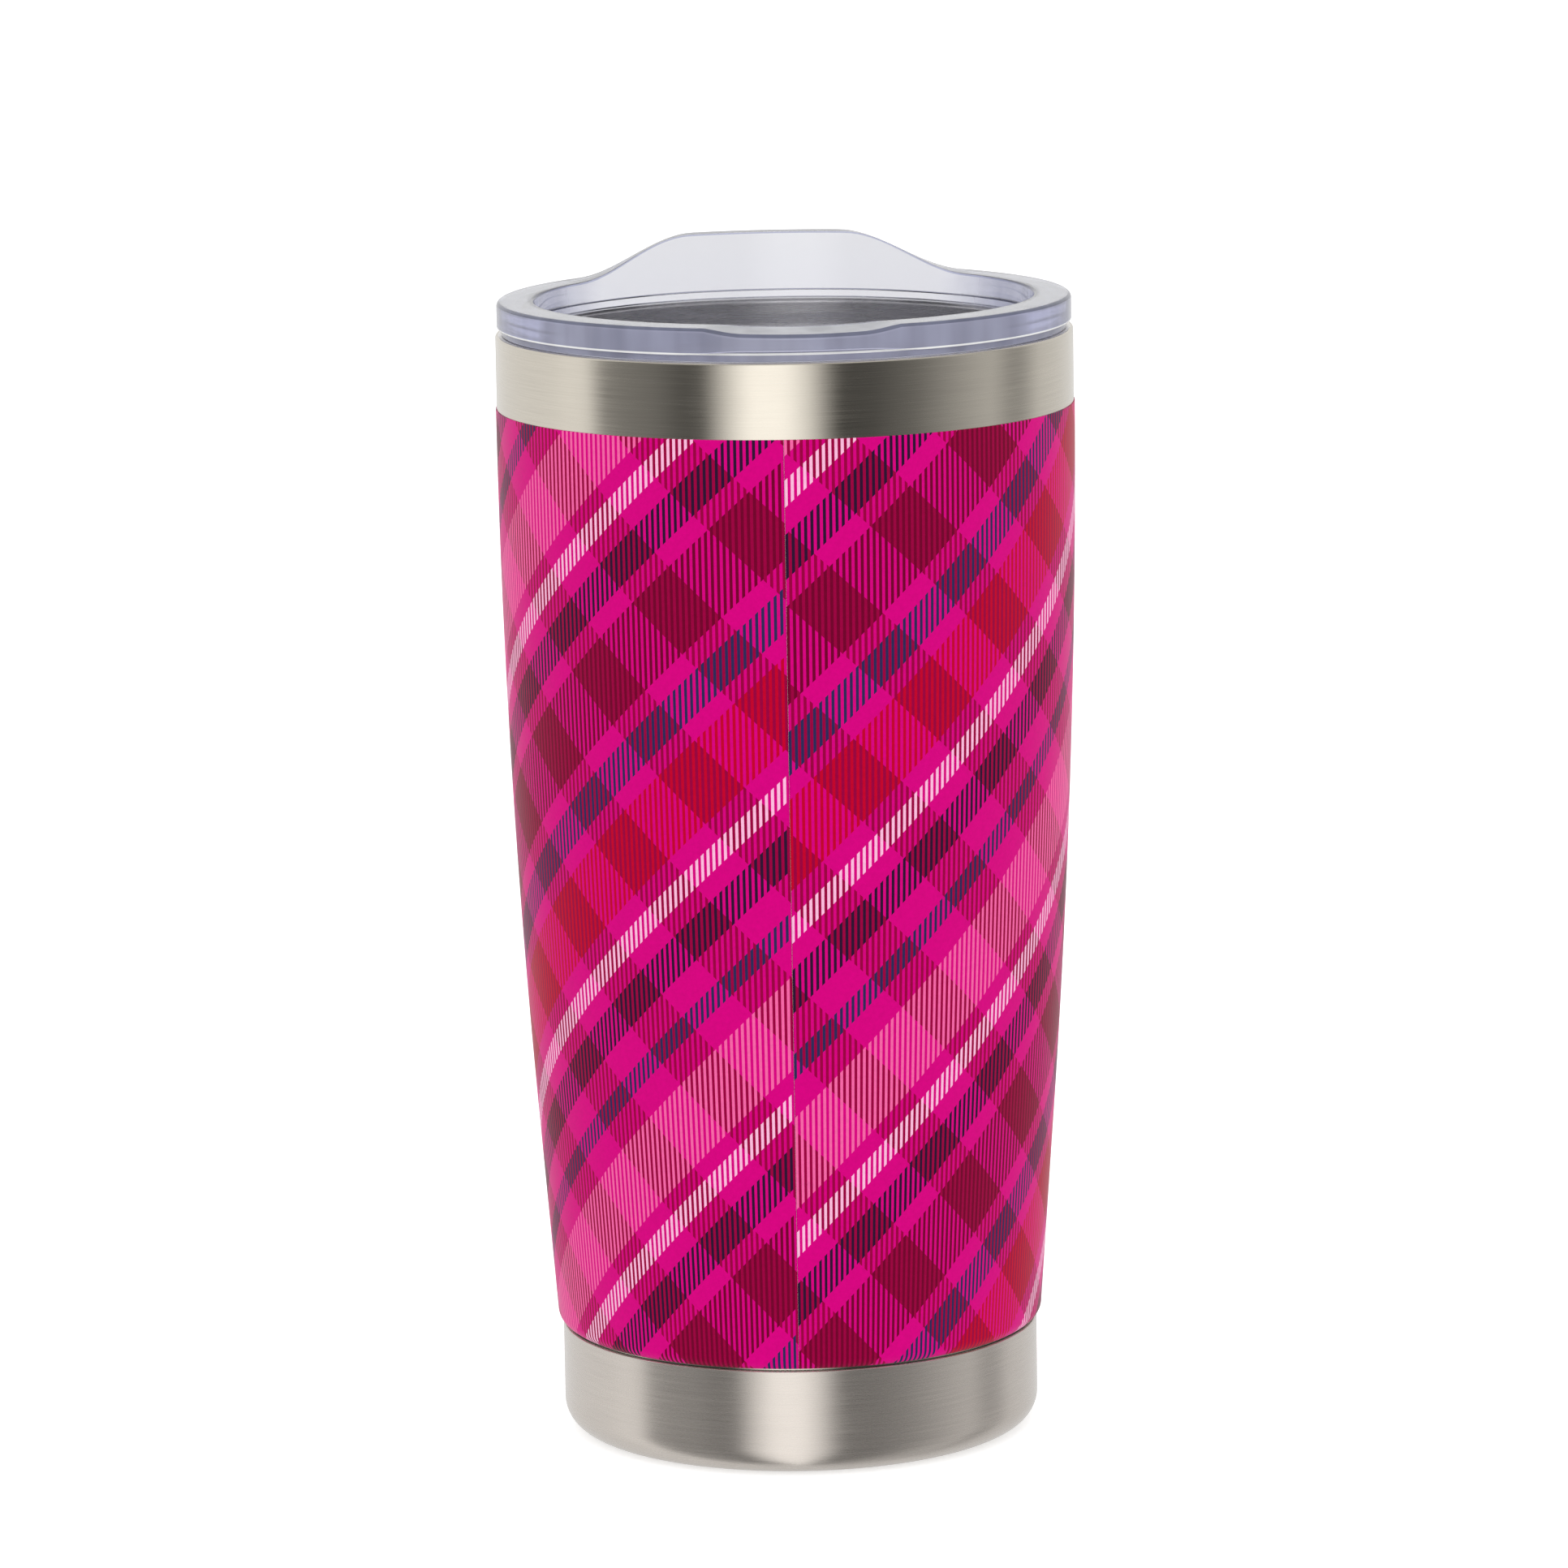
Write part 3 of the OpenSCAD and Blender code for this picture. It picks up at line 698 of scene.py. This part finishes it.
dip_lean = (DIP_H - DIP_INNER_H) / (LID_R - RING_IN_R)
for point in lid_shape.verts:
    x, y, height = (part / MM for part in point.co)
    radius = math.hypot(x, y)
    if height > RING_Z - 1 and y > 0:
        rise = swell(x, HUMP_FLAT, HUMP_FOOT)
        inset = (LID_R - radius) / (LID_R - RING_IN_R)
        wider = 1 + (HUMP_IN_R - RING_IN_R) * rise * inset / radius
        point.co = (x * wider * MM, y * wider * MM, (height + HUMP_H * rise) * MM)
    elif height > RING_Z - 1:
        drop = DIP_H * swell(x, DIP_FLAT, DIP_FOOT) - dip_lean * (y + LID_R)
        point.co.z -= max(drop, 0) * MM
    elif radius > TIER_R - 0.1 and BAND_Z - 0.1 < height < BAND_Z + 0.5 and y < 0:
        point.co.z += DIP_UNDER_H * swell(x, DIP_FLAT, DIP_FOOT) * MM
bmesh.ops.holes_fill(lid_shape, edges=[e for e in lid_shape.edges if e.is_boundary], sides=0)
bmesh.ops.recalc_face_normals(lid_shape, faces=lid_shape.faces[:])
lid_plastic = clear_copolyester("clear_copolyester_moulded")
lid = finish_piece("clear_lid", lid_shape, lid_plastic)

openings = bmesh.new()
half_turn = math.radians(SLOT_HALF_ANGLE)
start_angle = math.pi / 2 - half_turn
tip = openings.verts.new((0, 0, (PLUG_LOW - OVERCUT) * MM))
slot_start = Vector((math.cos(start_angle), math.sin(start_angle), 0))
tip.co += slot_start * (SLOT_MID_R + SLOT_W / 2) * MM
ends = [Vector((math.cos(a), math.sin(a), 0)) * SLOT_MID_R * MM
        for a in (start_angle, start_angle + 2 * half_turn)]
for centre, angle, steps in (((0, 0, 0), 2 * half_turn, 24), (ends[1], math.pi, 16),
                             ((0, 0, 0), -2 * half_turn, 24), (ends[0], math.pi, 16)):
    made = bmesh.ops.spin(openings, geom=[tip], cent=centre, axis=(0, 0, 1), dvec=(0, 0, 0),
                          angle=angle, space=Matrix.Identity(4), steps=steps)
    tip = next(v for v in made["geom_last"] if isinstance(v, bmesh.types.BMVert))
bmesh.ops.remove_doubles(openings, verts=openings.verts[:], dist=1e-6)
bmesh.ops.contextual_create(openings, geom=openings.edges[:])
bmesh.ops.create_circle(openings, cap_ends=True, segments=48, radius=VENT_R * MM,
                        matrix=Matrix.Translation((0, VENT_Y * MM, (PLUG_LOW - OVERCUT) * MM)))
prism = bmesh.ops.extrude_face_region(openings, geom=openings.faces[:])
bmesh.ops.translate(openings, vec=(0, 0, (FLOOR_Z - PLUG_LOW + 2 * OVERCUT) * MM),
                    verts=[v for v in prism["geom"] if isinstance(v, bmesh.types.BMVert)])
bmesh.ops.recalc_face_normals(openings, faces=openings.faces[:])
punch_mesh = bpy.data.meshes.new("openings_punch")
openings.to_mesh(punch_mesh)
openings.free()
punch = bpy.data.objects.new("openings_punch", punch_mesh)
bpy.context.scene.collection.objects.link(punch)
cut = lid.modifiers.new("openings", "BOOLEAN")
cut.object = punch
cut.operation = "DIFFERENCE"
cut.solver = "EXACT"
lid.modifiers.remove(lid.modifiers["level_faces"])
bpy.context.view_layer.update()
cut_mesh = bpy.data.meshes.new_from_object(lid.evaluated_get(bpy.context.evaluated_depsgraph_get()))
lid.modifiers.clear()
bpy.data.objects.remove(punch)
lid_shape = bmesh.new()
lid_shape.from_mesh(cut_mesh)
bpy.data.objects.remove(lid)
lips = [e for e in lid_shape.edges
        if len(e.link_faces) == 2
        and all(math.hypot(v.co.x, v.co.y) < (WELL_R - 1) * MM for v in e.verts)
        and sorted(abs(f.normal.z) > 0.5 for f in e.link_faces) == [False, True]]
bmesh.ops.bevel(lid_shape, geom=lips, offset=OPENING_EDGE_R * MM, offset_type="OFFSET",
                segments=3, profile=0.5, affect="EDGES", material=-1)
lid = finish_piece("clear_lid", lid_shape, lid_plastic)
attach(lid, "lid")
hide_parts("lid_body")

# ---- Studio --------------------------------------------------------------------------------
# A plain white stand and room. The world shows plain white to the eye and to matt surfaces.
# Only reflections see the surroundings, which are drawn as a pale sweep behind, a bright
# screen by the camera and at the left, and dark stretches like black cards between them.
CAMERA_TURN = -3.7
FLOOR_NEAR_R = 0.22
FLOOR_FAR_R = 6.0


def painted_board(name):
    material, tree = new_material(name)
    place = add(tree, "ShaderNodeTexCoord").outputs["Object"]
    grain = add(tree, "ShaderNodeTexNoise", {"Vector": place, "Scale": 40.0, "Detail": 2.0})
    shade = add(tree, "ShaderNodeMix",
                {0: grain.outputs["Fac"], 6: colour("#F6F6F6"), 7: colour("#F8F8F8")},
                data_type="RGBA")
    board = add(tree, "ShaderNodeBsdfPrincipled",
                {"Base Color": shade.outputs[2], "Roughness": 0.9,
                 "Specular IOR Level": 0.1, "Emission Color": colour("#FFFFFF"),
                 "Emission Strength": 0.5})
    add(tree, "ShaderNodeOutputMaterial", {"Surface": board.outputs[0]})
    return material


floor_paint = painted_board("matt_white_board")
near = bmesh.new()
bmesh.ops.create_circle(near, cap_ends=True, segments=128, radius=FLOOR_NEAR_R)
far = bmesh.new()
bmesh.ops.create_circle(far, cap_ends=False, segments=128, radius=FLOOR_NEAR_R)
rim = bmesh.ops.extrude_edge_only(far, edges=far.edges[:])
bmesh.ops.scale(far, vec=(FLOOR_FAR_R / FLOOR_NEAR_R, FLOOR_FAR_R / FLOOR_NEAR_R, 1),
                verts=[v for v in rim["geom"] if isinstance(v, bmesh.types.BMVert)])
bmesh.ops.recalc_face_normals(far, faces=far.faces[:])
for name, shape in (("floor_near", near), ("floor_far", far)):
    mesh = bpy.data.meshes.new(name)
    shape.to_mesh(mesh)
    shape.free()
    mesh.materials.append(floor_paint)
    board = bpy.data.objects.new(name, mesh)
    bpy.context.scene.collection.objects.link(board)
    board.visible_glossy = False
    board.visible_diffuse = False

# Brightness by the angle from the camera, to the right in degrees. This is no set of lamps: it is
# drawn, with its values matched to how light and dark run along the bare steel band at the mouth.
SURROUND = [
    (-180, 0.85), (-119, 0.88), (-105, 0.92), (-97, 1.0), (-86, 1.0),
    (-77, 0.3), (-66, 0.24), (-53, 0.2), (-41, 0.1), (-32, 0.12),
    (-22, 0.95), (-14, 1.5), (0, 1.5), (9, 1.0),
    (16, 0.35), (21, 0.07), (35, 0.09), (53, 0.18),
    (90, 0.6), (102, 0.35), (109, 0.38), (121, 0.7), (149, 0.8), (180, 0.85)]
CEILING = 0.7
# Rays that have come through the lid see this share of plain white, the rest as reflections do.
THROUGH_CLEAR = 0.45
# Colours in a ramp stop at 1, so brightness is stored at half and the background doubles it.
RAMP_SCALE = 2.0
world = bpy.data.worlds.new("studio")
bpy.context.scene.world = world
world.use_nodes = True
tree = world.node_tree
tree.nodes.clear()
ray = add(tree, "ShaderNodeTexCoord").outputs["Generated"]
axes = add(tree, "ShaderNodeSeparateXYZ", {0: ray})
forward = add(tree, "ShaderNodeMath", {0: axes.outputs["Y"], 1: -1.0}, operation="MULTIPLY")
bearing = add(tree, "ShaderNodeMath", {0: axes.outputs["X"], 1: forward.outputs[0]},
              operation="ARCTAN2")
share = add(tree, "ShaderNodeMapRange",
            {"Value": bearing.outputs[0],
             "From Min": -math.pi + math.radians(CAMERA_TURN),
             "From Max": math.pi + math.radians(CAMERA_TURN)}, clamp=False)
share = add(tree, "ShaderNodeMath", {0: share.outputs[0]}, operation="FRACT")
ramp = add(tree, "ShaderNodeValToRGB", {"Fac": share.outputs[0]})
points = ramp.color_ramp.elements
points[0].position, points[1].position = 0.0, 1.0
points[0].color = points[1].color = (SURROUND[0][1] / RAMP_SCALE,) * 3 + (1,)
for angle, light in SURROUND[1:-1]:
    points.new(angle / 360 + 0.5).color = (light / RAMP_SCALE,) * 3 + (1,)
level = add(tree, "ShaderNodeMapRange",
            {"Value": axes.outputs["Z"], "From Min": 0.6, "From Max": 0.85})
around = add(tree, "ShaderNodeMix",
             {0: level.outputs[0], 6: ramp.outputs["Color"],
              7: (CEILING / RAMP_SCALE,) * 3 + (1,)}, data_type="RGBA")
soft = add(tree, "ShaderNodeBackground",
           {"Color": around.outputs[2], "Strength": RAMP_SCALE})
plain = add(tree, "ShaderNodeBackground", {"Color": (1, 1, 1, 1), "Strength": 1.0})
path = add(tree, "ShaderNodeLightPath")
even = add(tree, "ShaderNodeMath",
           {0: path.outputs["Is Camera Ray"], 1: path.outputs["Is Diffuse Ray"]},
           operation="MAXIMUM")
even = add(tree, "ShaderNodeMath",
           {0: path.outputs["Is Transmission Ray"], 1: THROUGH_CLEAR, 2: even.outputs[0]},
           operation="MULTIPLY_ADD", use_clamp=True)
both = add(tree, "ShaderNodeMixShader",
           {0: even.outputs[0], 1: soft.outputs[0], 2: plain.outputs[0]})
add(tree, "ShaderNodeOutputWorld", {"Surface": both.outputs[0]})

# ---- Camera --------------------------------------------------------------------------------
# A long lens a little above the lid, looking ten degrees down, held a degree off level.
CAMERA_AWAY = 1.1966
CAMERA_UP = 0.3121
CAMERA_LENS = 179.53
PITCH = 9.995
YAW = -0.0559
ROLL = -0.941
camera = bpy.data.objects.new("camera", bpy.data.cameras.new("camera"))
bpy.context.scene.collection.objects.link(camera)
camera.data.sensor_width = 36
camera.data.lens = CAMERA_LENS
turn = math.radians(CAMERA_TURN)
camera.matrix_world = (
    Matrix.Translation((math.sin(turn) * CAMERA_AWAY, -math.cos(turn) * CAMERA_AWAY, CAMERA_UP))
    @ Matrix.Rotation(math.radians(CAMERA_TURN - YAW), 4, "Z")
    @ Matrix.Rotation(math.radians(90 - PITCH), 4, "X")
    @ Matrix.Rotation(math.radians(ROLL), 4, "Z"))
bpy.context.scene.camera = camera
bpy.context.scene.view_settings.view_transform = "Standard"
